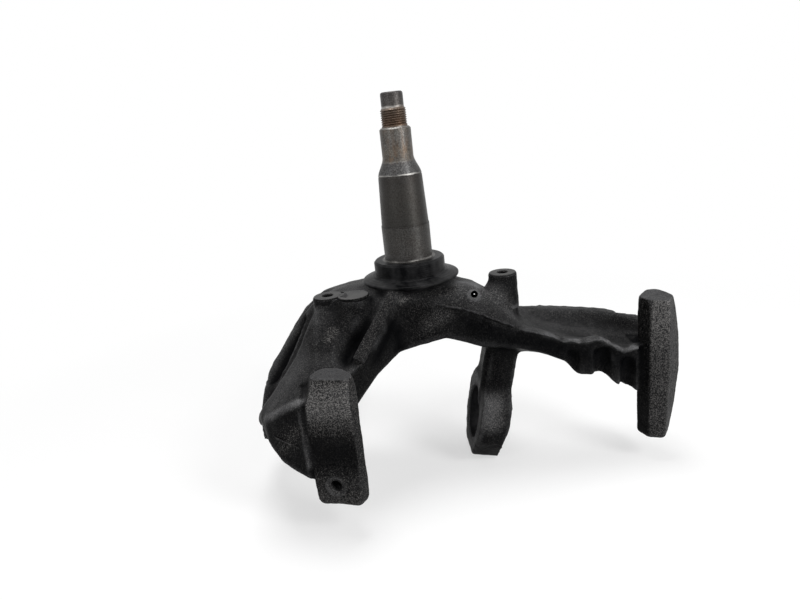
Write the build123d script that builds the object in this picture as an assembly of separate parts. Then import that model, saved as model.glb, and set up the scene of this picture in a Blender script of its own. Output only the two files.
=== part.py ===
"""Steering knuckle: one iron casting with a turned spindle, for the front axle of a light truck.

Millimetres. The origin is the centre of the shoulder that the inner wheel bearing stops on.
+Z runs up the spindle to its tip, +X runs to the long arm, and -Y faces the two anchor bars.
"""
from build123d import *
import os
from math import cos, radians, sin

# Spindle, from the shoulder up
inner_seat_d = 34.98
inner_seat_length = 22.4
relief_d = 34.2
relief_top_d = 31.0
relief_length = 38.2
cone_length = 11.9
outer_seat_d = 21.99
outer_seat_length = 20.5
thread_d = 18.0
thread_length = 13.0
thread_chamfer = 1.2
pilot_d = 15.6
pilot_length = 10.5
pilot_round = 2.0
root_fillet = 1.6

# Shoulder for the seal and the flange under it
shoulder_d = 52.0
shoulder_height = 10.5
shoulder_chamfer = 1.4
flange_d = 71.5
flange_thickness = 3.0
flange_chamfer = 0.8

# Hub of the casting under the flange
hub_front = 36.0
hub_back = 34.0
hub_drop = 1.5
arm_front = 38.0
arm_corner = 2.4
short_arm_corner = 1.8

# Kingpin axis: it crosses below the spindle and leans down towards +X
kingpin_lean = 12.0
upper_boss_x = 49.5
upper_boss_z = -134.0
boss_span = 160.0
boss_half_width = 32.0
upper_boss_thickness = 23.0
lower_boss_thickness = 29.0
upper_boss_head = 31.0
lower_boss_head = 20.0
boss_foot = 31.5
boss_foot_half_width = 16.0
boss_corner = 5.5
neck_half_width = 20.0
neck_inset = 2.4
neck_corner = 6.0
neck_rib_r = 4.0
upper_neck_root = -63.5
lower_neck_root = -82.0
kingpin_bore_d = 41.3
bore_chamfer = 1.2

# Hollow beside the land on the short arm, and the longer one behind its rib
hollow_x = -42.0
hollow_y = -44.0
hollow_z = -41.0
hollow_swell = 15.0
hollow_length = 84.0
rear_hollow_x = -102.0
rear_hollow_y = 14.0
rear_hollow_z = -68.0
rear_hollow_swell = 13.0
rear_hollow_length = 86.0

# Flutes under the lip of the long arm, each with its left, its right and its top
pocket_depth = 6.0
pocket_draft = 1.6
pocket_foot = -125.0
pocket_spans = ((104.5, 113, -72.5), (124, 136, -73.5), (143, 154, -83))

# Backing-plate bosses around the spindle
plate_boss_drop = 2.5
plate_thread_d = 6.8
plate_thread_depth = 22.0
left_boss_x = -61.0
left_boss_y = -22.0
left_boss_d = 21.5
left_boss_depth = 30.0
right_boss_x = 66.0
right_boss_y = -13.0
right_boss_d = 20.5
right_boss_depth = 40.0
rear_boss_y = 64.0
rear_boss_d = 21.0
rear_boss_depth = 26.0
left_pad_x = -42.5
left_pad_y = -28.0
left_pad_r = 11.0
left_pad_depth = 12.0
rear_web_depth = 24.0

# Anchor bars that carry the brake caliper
bar_corner = 3.0
left_bar_top = -51.0
left_bar_foot = -142.0
right_bar_top = -40.0
right_bar_foot = -148.0
pin_hole_d = 8.4
pin_hole_x = -66.0
pin_hole_y = -92.0
pin_hole_z = -126.8
pin_hole_turn = 19.0
pin_spot_d = 13.5
pin_spot_depth = 0.8
pin_spot_height = 10.0
pin_hole_length = 90.0

# Hole for the sensor lead
lead_hole_d = 5.0
lead_hole_x = 46.1
lead_hole_z = -34.5
lead_hole_turn = 7.1
lead_hole_dip = 17.1

# Track-rod arm
rod_arm_reach = 128.0
rod_eye_x = -80.0
rod_eye_z = -97.0
rod_eye_d = 36.0
rod_eye_width = 24.0
rod_taper_mouth_d = 17.6
rod_taper_small_d = 14.6

cone_top = inner_seat_length + relief_length + cone_length
spindle_top = cone_top + outer_seat_length + thread_length + pilot_length
flange_top = -shoulder_height
flange_foot = -shoulder_height - flange_thickness
hub_top = flange_foot - hub_drop
plate_boss_z = flange_foot - plate_boss_drop
lead_hole_length = 2 * (hub_front + hub_back)


def turned_spindle():
    """The spindle, its shoulder and the flange, turned about +Z from one half profile."""
    z_seat = inner_seat_length
    z_relief = z_seat + relief_length
    z_cone = z_relief + cone_length
    z_outer = z_cone + outer_seat_length
    z_thread = z_outer + thread_length
    z_tip = z_thread + pilot_length
    seat_r = inner_seat_d / 2
    top_r = relief_top_d / 2
    outer_r = outer_seat_d / 2
    shoulder_r = shoulder_d / 2
    flange_r = flange_d / 2
    throat = Spline(
        (top_r, z_relief),
        ((top_r + outer_r) / 2, z_relief + 0.42 * cone_length),
        (outer_r, z_cone),
        tangents=[(-0.25, 1), (0, 1)],
    )
    parts = [
        Line((0, flange_foot - 4), (flange_r - 6, flange_foot - 4)),
        Line((flange_r - 6, flange_foot - 4), (flange_r, flange_foot)),
        Line((flange_r, flange_foot), (flange_r, flange_top - flange_chamfer)),
        Line((flange_r, flange_top - flange_chamfer), (flange_r - flange_chamfer, flange_top)),
        Line((flange_r - flange_chamfer, flange_top), (shoulder_r, flange_top)),
        Line((shoulder_r, flange_top), (shoulder_r, -shoulder_chamfer)),
        Line((shoulder_r, -shoulder_chamfer), (shoulder_r - shoulder_chamfer, 0)),
        Line((shoulder_r - shoulder_chamfer, 0), (seat_r + root_fillet, 0)),
        RadiusArc((seat_r + root_fillet, 0), (seat_r, root_fillet), root_fillet),
        Line((seat_r, root_fillet), (seat_r, z_seat)),
        Line((seat_r, z_seat), (relief_d / 2, z_seat + 0.4)),
        Line((relief_d / 2, z_seat + 0.4), (top_r, z_relief)),
        throat,
        Line((outer_r, z_cone), (outer_r, z_outer - thread_chamfer)),
        Line((outer_r, z_outer - thread_chamfer), (outer_r - thread_chamfer, z_outer)),
        Line((outer_r - thread_chamfer, z_outer), (thread_d / 2, z_outer)),
        Line((thread_d / 2, z_outer), (thread_d / 2, z_thread - thread_chamfer)),
        Line((thread_d / 2, z_thread - thread_chamfer), (pilot_d / 2, z_thread)),
        Line((pilot_d / 2, z_thread), (pilot_d / 2, z_tip - pilot_round)),
        RadiusArc((pilot_d / 2, z_tip - pilot_round), (pilot_d / 2 - pilot_round, z_tip), -pilot_round),
        Line((pilot_d / 2 - pilot_round, z_tip), (0, z_tip)),
        Line((0, z_tip), (0, flange_foot - 4)),
    ]
    half = make_face(Wire(parts))
    return revolve(Plane.XZ * half, Axis.Z)


def softened(points, reach, curved):
    """A flat outline whose corners are each cut back by one reach and bridged by a curve or a straight.

    Every corner gives one bridge and one side, so outlines with as many points loft cleanly.
    """
    corners = [Vector(*point) for point in points]
    edges = []
    ends = []
    for i, corner in enumerate(corners):
        before = corners[i - 1] - corner
        after = corners[(i + 1) % len(corners)] - corner
        start = corner + before.normalized() * min(reach, 0.45 * before.length)
        end = corner + after.normalized() * min(reach, 0.45 * after.length)
        ends.append((start, end))
        edges.append(Bezier(start, corner, end) if curved else Line(start, end))
    for i, (start, end) in enumerate(ends):
        edges.append(Line(end, ends[(i + 1) % len(ends)][0]))
    return make_face(Wire(edges))


def across(x, points, reach):
    """A section of the casting at one X, from points in Y and Z."""
    plane = Plane(origin=(x, 0, 0), x_dir=(0, 1, 0), z_dir=(1, 0, 0))
    return plane * softened(points, reach, False)


def level(z, points, reach):
    """A section of the casting at one Z, from points in X and Y."""
    return Plane.XY.offset(z) * softened(points, reach, True)


def arm(stations, reach):
    """A cast limb through sections that all have as many corners, joined by straight rules."""
    return loft([across(x, points, reach) for x, points in stations], ruled=True)


kingpin_dir = Vector(cos(radians(kingpin_lean)), 0, -sin(radians(kingpin_lean)))
upper_boss_centre = Vector(upper_boss_x, 0, upper_boss_z)
lower_boss_centre = upper_boss_centre - kingpin_dir * boss_span


def kingpin_plane(centre):
    """A plane square to the kingpin, with its first axis along +Y and its second up the casting."""
    return Plane(origin=centre, x_dir=(0, 1, 0), z_dir=kingpin_dir)


def hub_and_long_arm():
    """The hub under the flange, running out into the dished arm that carries the right bar."""
    f = hub_front
    b = hub_back
    a = arm_front
    t = hub_top
    return arm([
        (-20, [
            (b, t - 5), (20, t - 1), (0, t), (-28, t),
            (-f + 2, t - 5), (-f, -62), (0, -66), (b, -58),
        ]),
        (20, [
            (b, t - 4), (20, t - 1), (0, t), (-26, t - 2),
            (-f, t - 14), (-f, -54), (0, -60), (b, -54),
        ]),
        (45, [
            (32, -35), (18, -29), (2, -23), (-22, -19.5),
            (-a, -37), (-a, -63), (-14, -70), (32, -46),
        ]),
        (59, [
            (25, -43), (16, -38), (2, -33), (-24, -31),
            (-a, -45), (-a, -65), (-10, -76), (25, -56),
        ]),
        (74, [
            (17, -51), (10, -50), (1, -49), (-24, -50),
            (-a, -53), (-a, -68), (-6, -82), (17, -66),
        ]),
        (90, [
            (11, -52), (4, -52), (-4, -57), (-30, -59),
            (-a, -57), (-a, -74), (-8, -83), (11, -66),
        ]),
        (104, [
            (10, -53.5), (4, -53.5), (-4, -62), (-30, -64),
            (-a, -65), (-a, -82), (-8, -86), (10, -68),
        ]),
        (112, [
            (10, -55), (4, -55), (-4, -65), (-30, -67),
            (-a, -68), (-a, -94), (-8, -92), (10, -72),
        ]),
        (131, [
            (10, -58.5), (4, -58.5), (-4, -69), (-30, -71),
            (-a, -69), (-a, -96), (-8, -94), (10, -76),
        ]),
        (141, [
            (10, -60.5), (4, -60.5), (-4, -71.5), (-30, -75),
            (-a, -77), (-a, -106), (-8, -98), (10, -80),
        ]),
        (173, [
            (4, -66.5), (-2, -66.5), (-8, -78), (-30, -80),
            (-a, -80), (-a, -122), (-12, -116), (4, -90),
        ]),
    ], arm_corner)


def front_pockets():
    """Drafted flutes in the front wall of the long arm, from under its lip down through its foot."""
    cuts = []
    for left, right, top in pocket_spans:
        middle = ((left + right) / 2, -arm_front, (top + pocket_foot) / 2)
        mouth = Plane(origin=middle, x_dir=(1, 0, 0), z_dir=(0, -1, 0))
        width = right - left
        height = top - pocket_foot
        deep = RectangleRounded(width - 2 * pocket_draft, height - 2 * pocket_draft, pocket_draft / 2)
        wide = RectangleRounded(width + pocket_draft, height + pocket_draft, pocket_draft)
        cuts.append(loft([mouth.offset(-pocket_depth) * deep, mouth.offset(pocket_draft) * wide]))
    return cuts


def short_arm():
    """The broad arm from the hub down to the lower kingpin boss, with a channel along its outer side."""
    f = hub_front
    b = hub_back
    t = hub_top
    return arm([
        (-10, [
            (b, t - 4.5), (0, t), (-9, t), (-18, t), (-25, t),
            (-30, t), (-f, t - 7), (-f, -57), (0, -62), (b, -58),
        ]),
        (-30, [
            (36, -20), (0, -16), (-9, -16), (-18, -16), (-29, -19),
            (-44, -30), (-56, -45), (-48, -69.5), (0, -78), (36, -66),
        ]),
        (-50, [
            (36, -23), (0, -17), (-8, -17), (-18, -17), (-26, -18),
            (-50, -41), (-68, -58), (-61, -89), (0, -98), (34, -80),
        ]),
        (-70, [
            (36, -27), (0, -22), (-10, -25), (-24, -26), (-33, -21),
            (-54, -42), (-76, -60), (-70, -98), (0, -110), (32, -90),
        ]),
        (-86, [
            (34, -38), (-2, -37), (-12, -52), (-32, -58), (-46, -49),
            (-60, -56), (-80, -64), (-72, -99), (0, -114), (30, -98),
        ]),
        (-101, [
            (32, -57), (-6, -55), (-16, -74), (-44, -76), (-57, -66),
            (-64, -70), (-78, -74), (-70, -97), (0, -116), (28, -104),
        ]),
        (-112, [
            (28, -72), (-6, -69), (-18, -85), (-50, -87), (-60, -78),
            (-65, -80), (-69, -83), (-64, -93), (0, -112), (26, -108),
        ]),
        (-117.5, [
            (27, -84), (-6, -79), (-16, -90), (-40, -92), (-49, -87),
            (-54, -88), (-58, -90), (-54, -96), (0, -112), (25, -106),
        ]),
    ], short_arm_corner)


def wedge():
    """The tapered web that backs the left bar, from the tip of the short arm's ridge."""
    return arm([
        (-112.5, [(-58, -82), (-66, -83), (-69, -88), (-60, -92)]),
        (-107.5, [(-62, -75), (-76, -79), (-77, -100), (-60, -101)]),
        (-100, [(-66, -70), (-82, -74.5), (-83, -111), (-60, -108)]),
        (-90, [(-68, -62), (-85, -68), (-86, -119), (-62, -112)]),
        (-74, [(-66, -54), (-86, -62), (-87, -131), (-66, -120)]),
    ], short_arm_corner)


def left_bar():
    """The near anchor bar, wider at its foot, with a hollow across its front face."""
    stations = [
        (left_bar_foot, [(-79, -88), (-50, -96), (-45, -88), (-54, -70), (-68, -68), (-80, -76)]),
        (-124, [(-79.5, -88), (-49.5, -97), (-44.5, -88), (-54, -70), (-68, -68), (-81, -76)]),
        (-106, [(-79.5, -86), (-49, -95.5), (-44.5, -87), (-54, -70), (-68, -68), (-81, -76)]),
        (-88, [(-79, -88.5), (-49, -97.5), (-44.5, -87), (-54, -70), (-68, -68), (-80, -76)]),
        (-68, [(-77.5, -88), (-48.5, -96.5), (-44, -87), (-53, -70), (-68, -67), (-79, -75)]),
        (left_bar_top, [
            (-71.5, -87), (-48.5, -95), (-45, -87),
            (-54, -73), (-66, -70), (-73, -78),
        ]),
    ]
    return loft([level(z, points, bar_corner) for z, points in stations], ruled=True)


def right_bar():
    """The far anchor bar at the end of the long arm, with a bulged outer side."""
    stations = [
        (right_bar_foot, [(157, -32), (161, -43), (172, -47), (178, -38), (174, -22), (166, -17)]),
        (-120, [(157, -32), (161.5, -43), (173, -47), (183, -38), (179, -20), (166, -15)]),
        (-96, [(157.5, -32), (162, -43), (174, -47), (186, -37), (182, -18), (166, -13)]),
        (-72, [(157.5, -32), (162, -43), (174, -47), (185.5, -37), (182, -18), (166, -13)]),
        (-55, [(157.5, -32), (162, -43), (174, -47), (183.5, -37), (180, -19), (166, -13)]),
        (right_bar_top, [(157.5, -32), (162, -43), (174, -47), (181, -37), (177, -20), (169, -18)]),
    ]
    return loft([level(z, points, bar_corner) for z, points in stations], ruled=True)


def kingpin_boss(centre, thickness, boss_head, root):
    """A kingpin boss with a squared foot, and the narrower neck that hangs it from a root height."""
    w = boss_half_width
    n = neck_half_width
    head = softened([
        (-n, boss_head), (-w, boss_head - 12), (-w, -9), (-boss_foot_half_width, -boss_foot),
        (boss_foot_half_width, -boss_foot), (w, -9), (w, boss_head - 12), (n, boss_head),
    ], boss_corner, True)
    neck = (root - centre.Z) / cos(radians(kingpin_lean))
    stem = Pos(0, neck / 2) * RectangleRounded(2 * n, neck, neck_corner)
    boss = extrude(head, thickness / 2, both=True)
    boss += Pos(0, 0, neck_inset / 2) * extrude(stem, (thickness - neck_inset) / 2, both=True)
    rib = Pos(neck_rib_r + 2 - n, neck / 2, neck_inset - thickness / 2) * Rot(90, 0, 0)
    boss += rib * Cylinder(neck_rib_r, neck)
    return kingpin_plane(centre) * boss


def plate_boss(x, y, d, depth):
    """A round boss for a backing-plate screw, standing on the casting."""
    return Pos(x, y, plate_boss_z - depth / 2) * Cylinder(d / 2, depth)


def plate_pads():
    """The rounded pad beside the left boss, and the tapered web out to the rear boss."""
    pads = plate_boss(left_pad_x, left_pad_y, 2 * left_pad_r, left_pad_depth)
    rear = level(0, [(-16, 20), (16, 20), (9, rear_boss_y), (-9, rear_boss_y)], 3)
    pads += Pos(0, 0, plate_boss_z - 2 - rear_web_depth) * extrude(rear, rear_web_depth)
    return pads


def rod_arm():
    """The arm for the track rod, reaching back from the lower boss to an upright eye."""
    side = Plane(origin=(rod_eye_x, 0, 0), x_dir=(1, 0, 0), z_dir=(0, 1, 0))
    half = rod_eye_width / 2
    sections = []
    for y, x, z, w, h in [
        (10, -12, -88, 14, 19),
        (50, -6, -92, 13, 17),
        (90, -1, -96, 10, 14),
        (rod_arm_reach, 0, rod_eye_z, half, 15),
    ]:
        outline = RectangleRounded(2 * w, 2 * h, min(w, h) * 0.45)
        sections.append(Plane(origin=(rod_eye_x + x, y, z), x_dir=(1, 0, 0), z_dir=(0, 1, 0)) * outline)
    reach = loft(sections)
    eye = Pos(rod_eye_x, rod_arm_reach, rod_eye_z) * Rot(0, 90, 0) * Cylinder(rod_eye_d / 2, rod_eye_width)
    return reach + eye


def lemon(length, swell):
    """A cutter that is widest at its middle and runs out to a point at both ends."""
    half = make_face(Wire([
        ThreePointArc((0, -length / 2), (swell, 0), (0, length / 2)),
        Line((0, length / 2), (0, -length / 2)),
    ]))
    return revolve(Plane.XZ * half, Axis.Z)


def front_hollow():
    """The long hollow in the short arm's front face, beside the narrow land."""
    out = Vector(-0.1, -0.81, 0.58).normalized()
    along = Vector(-12, -25, -29).normalized()
    middle = Vector(hollow_x, hollow_y, hollow_z) + out * hollow_swell
    return Plane(origin=middle, x_dir=out, z_dir=along) * lemon(hollow_length, hollow_swell)


def rear_hollow():
    """The hollow between the short arm's rib and its rear edge, which thins the casting behind."""
    out = Vector(-0.78, 0.12, 0.62).normalized()
    along = Vector(-0.62, -0.05, -0.78).normalized()
    middle = Vector(rear_hollow_x, rear_hollow_y, rear_hollow_z) + out * rear_hollow_swell
    return Plane(origin=middle, x_dir=out, z_dir=along) * lemon(rear_hollow_length, rear_hollow_swell)


def casting():
    """Everything that was poured as one, before the holes."""
    body = short_arm()
    body -= front_hollow()
    body -= rear_hollow()
    body += hub_and_long_arm()
    for pocket in front_pockets():
        body -= pocket
    body += wedge()
    body += left_bar()
    body += right_bar()
    body += kingpin_boss(upper_boss_centre, upper_boss_thickness, upper_boss_head, upper_neck_root)
    body += kingpin_boss(lower_boss_centre, lower_boss_thickness, lower_boss_head, lower_neck_root)
    body += plate_pads()
    body += plate_boss(left_boss_x, left_boss_y, left_boss_d, left_boss_depth)
    body += plate_boss(right_boss_x, right_boss_y, right_boss_d, right_boss_depth)
    body += plate_boss(0, rear_boss_y, rear_boss_d, rear_boss_depth)
    body += rod_arm()
    return body


def kingpin_bore(centre, thickness):
    """A bore for a kingpin bush, chamfered at both mouths."""
    half = thickness / 2
    bore = Cylinder(kingpin_bore_d / 2, thickness + 30)
    for side in (-1, 1):
        mouth = Cone(kingpin_bore_d / 2, kingpin_bore_d / 2 + 2 * bore_chamfer, 2 * bore_chamfer)
        bore += Pos(0, 0, side * half) * Rot(0 if side > 0 else 180, 0, 0) * mouth
    return kingpin_plane(centre) * bore


def rod_taper():
    """The tapered seat for the track rod's stud, through the eye along X."""
    width = rod_eye_width + 2
    small = rod_taper_small_d / 2
    mouth = rod_taper_mouth_d / 2
    return Pos(rod_eye_x, rod_arm_reach, rod_eye_z) * Rot(0, 90, 0) * Cone(small, mouth, width)


def lead_hole():
    """The drilled hole through the hub's web for the sensor lead."""
    turn = radians(lead_hole_turn)
    dip = radians(lead_hole_dip)
    along = Vector(sin(turn) * cos(dip), cos(turn) * cos(dip), -sin(dip))
    place = Plane(origin=(lead_hole_x, 0, lead_hole_z), z_dir=along)
    return place * Cylinder(lead_hole_d / 2, lead_hole_length)


def pin_hole():
    """The screw hole through the foot of the left bar, with its spot face."""
    turn = radians(pin_hole_turn)
    out = Vector(-sin(turn), -cos(turn), 0)
    face = Plane(origin=(pin_hole_x, pin_hole_y, pin_hole_z), z_dir=out)
    spot = Cylinder(pin_spot_d / 2, pin_spot_height)
    drilled = Cylinder(pin_hole_d / 2, pin_hole_length)
    return face * (drilled + Pos(0, 0, pin_spot_height / 2 - pin_spot_depth) * spot)


def holes():
    """Bores and tapped holes, taken out after the casting is whole."""
    cut = [
        kingpin_bore(upper_boss_centre, upper_boss_thickness),
        kingpin_bore(lower_boss_centre, lower_boss_thickness),
        rod_taper(),
        lead_hole(),
        pin_hole(),
    ]
    for x, y in ((left_boss_x, left_boss_y), (right_boss_x, right_boss_y), (0, rear_boss_y)):
        tapped = Cylinder(plate_thread_d / 2, plate_thread_depth)
        cut.append(Pos(x, y, plate_boss_z - plate_thread_depth / 2) * tapped)
    return cut


knuckle = turned_spindle() + casting()
for hole in holes():
    knuckle -= hole

os.makedirs("parts", exist_ok=True)
export_step(knuckle, "parts/knuckle.step")
print("spindle top", spindle_top, "volume cm3", knuckle.volume / 1000)
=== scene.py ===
"""Looks of a steering knuckle: one black iron casting with a bare turned spindle.

Metres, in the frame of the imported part. +Z runs up the spindle, +X to the long arm, -Y to the anchor bars.
Sizes written in millimetres are turned into metres where a mesh is made.
"""

import bpy
import bmesh
import numpy as np
from mathutils import Matrix, Vector


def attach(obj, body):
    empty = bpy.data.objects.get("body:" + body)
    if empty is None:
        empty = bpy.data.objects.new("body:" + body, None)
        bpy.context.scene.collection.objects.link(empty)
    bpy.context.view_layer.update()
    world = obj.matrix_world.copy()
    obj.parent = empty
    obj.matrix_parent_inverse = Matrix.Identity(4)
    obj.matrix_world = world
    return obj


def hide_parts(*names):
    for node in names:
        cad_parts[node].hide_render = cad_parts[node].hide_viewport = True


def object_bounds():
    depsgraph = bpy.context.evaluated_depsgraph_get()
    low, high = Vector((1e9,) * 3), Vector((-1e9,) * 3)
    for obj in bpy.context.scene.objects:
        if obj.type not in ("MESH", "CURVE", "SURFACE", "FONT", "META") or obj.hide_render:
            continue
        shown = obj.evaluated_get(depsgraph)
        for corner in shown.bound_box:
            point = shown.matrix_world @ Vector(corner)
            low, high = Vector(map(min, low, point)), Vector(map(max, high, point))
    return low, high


MM = 0.001

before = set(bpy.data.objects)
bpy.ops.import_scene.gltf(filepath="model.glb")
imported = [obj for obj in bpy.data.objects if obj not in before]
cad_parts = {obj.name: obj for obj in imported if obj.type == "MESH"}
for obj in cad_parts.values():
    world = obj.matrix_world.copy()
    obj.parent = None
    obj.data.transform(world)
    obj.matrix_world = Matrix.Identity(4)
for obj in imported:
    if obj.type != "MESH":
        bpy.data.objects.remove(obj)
cad_low, cad_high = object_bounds()

# Spindle and collar, as in the part's source, in mm
SEAT_R = 17.49
SEAT_TOP = 25.0
RELIEF_R = 17.1
RELIEF_TOP_R = 15.5
RELIEF_TOP = 60.6
CONE_TOP = 72.5
JOURNAL_R = 10.995
JOURNAL_TOP = 93.0
JOURNAL_CHAMFER = 1.2
THREAD_R = 9.0
THREAD_TOP = 106.0
THREAD_PITCH = 1.5
THREAD_DEPTH = 0.7
THREAD_CHAMFER = 1.2
PILOT_R = 7.8
PILOT_TOP = 116.5
SHOULDER_R = 26.0
SHOULDER_HEIGHT = 10.5
SHOULDER_CHAMFER = 1.4
FLANGE_R = 35.75
FLANGE_FOOT = -13.5
ROOT_FILLET = 1.6

# The flange's rim, which slopes lower here than in the part, in mm
RIM_R = FLANGE_R - 0.2
RIM_TOP = -13.4
RIM_FOOT = FLANGE_FOOT - 1.4

# Machined places of the casting, in mm
KINGPIN_LEAN = 12.0
UPPER_BOSS = (49.5, 0.0, -134.0)
BOSS_SPAN = 160.0
UPPER_THICKNESS = 23.0
LOWER_THICKNESS = 29.0
KINGPIN_R = 20.65
BORE_CHAMFER = 1.2
PLATE_FACE = -16.0
PLATE_BOSSES = ((-61.0, -22.0, 10.75), (66.0, -13.0, 10.25), (0.0, 64.0, 10.5))
BOSS_DEPTH = 26
LEFT_PAD = (-42.5, -28.0, 11.0)
PAD_DEPTH = 8
TAPPED_R = 3.4
TAPPED_DEPTH = 22.0
PIN_HOLE = (-66.0, -92.0, -126.8)
PIN_HOLE_TURN = 19.0
PIN_HOLE_R = 4.2
SPOT_FACE_R = 6.75
LEAD_HOLE = (46.1, 0.0, -34.5)
LEAD_HOLE_TURN = 7.1
LEAD_HOLE_DIP = 17.1
LEAD_HOLE_R = 2.5
LEAD_PILOT_R = 0.45
ROD_EYE = (-80.0, 128.0, -97.0)
ROD_EYE_WIDTH = 24.0
ROD_MOUTH_R = 8.8
ROD_SMALL_R = 7.3

UP = (0, 0, 1)
BACK = (0, 1, 0)

# The casting's skin: the grid of its first mesh in mm, and the passes that soften it with their shares
VOXEL = 1.5
SOFTEN_PASSES = 18
EARLY_PASSES = 6
FILL_SHARE = 0.62
EARLY_ROUNDING = 0.28
LATE_ROUNDING = 0.04

# Places where the skin is pressed in: from, to, reach, depth in mm, and the way that it moves
PRESSES = (
    # The rear of the short arm's outer edge
    ((-72, 14, -26), (-112, 12, -76), 13, 6.0, (0.5, 0, -0.87)),
    # Beside the short arm's rib
    ((-84, -3, -39), (-114, -15, -81), 7, 3.6, (0.6, 0.55, -0.55)),
    # The valley beside the narrow land
    ((-36, -40, -36), (-60, -66, -68), 9, 3.5, (0.1, 0.8, -0.6)),
    # The dished top of the long arm
    ((82, -20, -64), (150, -22, -80), 12, 2.0, (0, 0, -1)),
    # The outer side of the kingpin lug
    ((62, -30, -150), (58, -8, -168), 17, 3.4, (-1, 0, 0.15)),
)

# Sections of the two anchor bars: each height with its corners in X and Y, in mm
LEFT_BAR = (
    (-142, ((-79, -88), (-50, -96), (-45, -88), (-54, -70), (-68, -68), (-80, -76))),
    (-124, ((-79.5, -88), (-49.5, -97), (-44.5, -88), (-54, -70), (-68, -68), (-81, -76))),
    (-106, ((-79.5, -85), (-49, -94.5), (-44.5, -87), (-54, -70), (-68, -68), (-81, -76))),
    (-88, ((-79, -88.5), (-49, -97.5), (-44.5, -87), (-54, -70), (-68, -68), (-80, -76))),
    (-68, ((-78, -88), (-48.5, -96.5), (-44, -87), (-53, -70), (-68, -67), (-79, -75))),
    (-60, ((-74.5, -88), (-48.5, -96), (-44, -87), (-53, -70), (-68, -67), (-77, -75))),
    (-51, ((-72.5, -87), (-48.5, -95), (-45, -87), (-54, -73), (-66, -70), (-73, -78))),
)
RIGHT_BAR = (
    (-148, ((157, -32), (161, -43), (172, -47), (178, -38), (174, -22), (166, -17))),
    (-120, ((157, -32), (161.5, -43), (173, -47), (183, -38), (179, -20), (166, -15))),
    (-96, ((157.5, -32), (162, -43), (174, -47), (186, -37), (182, -18), (166, -13))),
    (-72, ((157.5, -32), (162, -43), (174, -47), (185.5, -37), (182, -18), (166, -13))),
    (-55, ((157.5, -32), (162, -43), (174, -47), (183.5, -37), (180, -19), (166, -13))),
    (-40, ((157.5, -32), (162, -43), (174, -47), (181, -37), (177, -20), (169, -18))),
)

# Thin forms that the mould left, each along a spine in mm

# The ragged lip at the front of the long arm, in X and Z, and the arm's rear rim
LIP = (
    (70, -50.5), (79, -53), (89, -56.3), (95, -59.2), (100, -62.6), (110, -64), (116, -65.6),
    (122, -64.8), (128, -64.8), (134, -68.4), (140.5, -73.6), (145.5, -76.6), (153, -74.8), (160, -74),
)
ARM_RIM = (
    (80, 12, -54.7), (99, 12, -56.0), (118.6, 12, -59.2), (135.8, 12, -62.4),
    (147, 12, -64.3), (155, 12, -66.6), (161.5, 12, -69.4),
)

# The parting fin on the hub's web
WEB_FIN = (
    (14, -38, -27), (31, -38, -32), (40, -38, -35.5), (48, -38, -39.5),
    (56, -38, -44), (63, -38, -47.5), (71, -38, -51),
)

# The narrow land from the hub to the left bar, with the way across it and the way that it stands
LAND = (
    (-14, -31.5, -16.2), (-15.3, -33.5, -18.4), (-17.9, -37.2, -22.1), (-23.4, -43.4, -28.8),
    (-30.6, -49.8, -37.2), (-36.4, -55.6, -44.6), (-41.5, -61.2, -51.2), (-44.5, -63.5, -55),
)
LAND_ACROSS = (0.845, -0.294, -0.438)
LAND_STANDS = (0.05, -0.78, 0.62)

# The rib of the short arm
ARM_RIB = (
    (-76, -3, -30.5), (-78.4, -4.6, -33), (-84.2, -9.4, -44.6),
    (-91, -14, -58), (-99, -17.5, -70), (-106, -21, -78),
)

# The ridge of the wedge under the left bar, the parting fin below it, and the ridge beside the bar
WEDGE_RIDGE = (
    (-105, -75, -79.5), (-100, -79.5, -76), (-95, -82, -72.5),
    (-89, -84.5, -69.5), (-83, -85.5, -67), (-78, -86.5, -65),
)
WEDGE_FIN = (
    (-104.5, -78.4, -90.2), (-101, -81.3, -92), (-96.5, -83.2, -93.4),
    (-91, -84.6, -96.2), (-87, -85.2, -98.6), (-82, -85.8, -101),
)
BAR_FILLET = ((-80.5, -85, -64), (-82, -86, -80), (-82, -86.5, -100), (-81.5, -87, -118))


# Meshes

def put_mesh(name, points, faces):
    """A mesh object at the origin, from an (n, 3) array of points in mm and index arrays of its faces."""
    mesh = bpy.data.meshes.new(name)
    mesh.from_pydata((points * MM).tolist(), [], [list(f) for block in faces for f in block.tolist()])
    mesh.update()
    piece = bpy.data.objects.new(name, mesh)
    bpy.context.scene.collection.objects.link(piece)
    return piece


def tube_faces(rings, sides):
    """The quads between neighbouring rings of a tube whose points are numbered ring by ring."""
    row, col = np.meshgrid(np.arange(rings - 1), np.arange(sides), indexing="ij")
    here = row * sides
    above = (row + 1) * sides
    nxt = (col + 1) % sides
    return np.stack([here + col, here + nxt, above + nxt, above + col], 2).reshape(-1, 4)


def tube(name, points, sides):
    """A tube from points in mm numbered ring by ring, with a flat face at each end."""
    rings = len(points) // sides
    foot = np.arange(sides)[::-1][None]
    top = ((rings - 1) * sides + np.arange(sides))[None]
    return put_mesh(name, points, [tube_faces(rings, sides), foot, top])


def read(things, label, width=3, kind=float):
    """What a mesh's vertices, edges, corners or faces hold under a label, as an array of that width."""
    values = np.empty(len(things) * width, kind)
    things.foreach_get(label, values)
    return values.reshape(-1, width)


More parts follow.
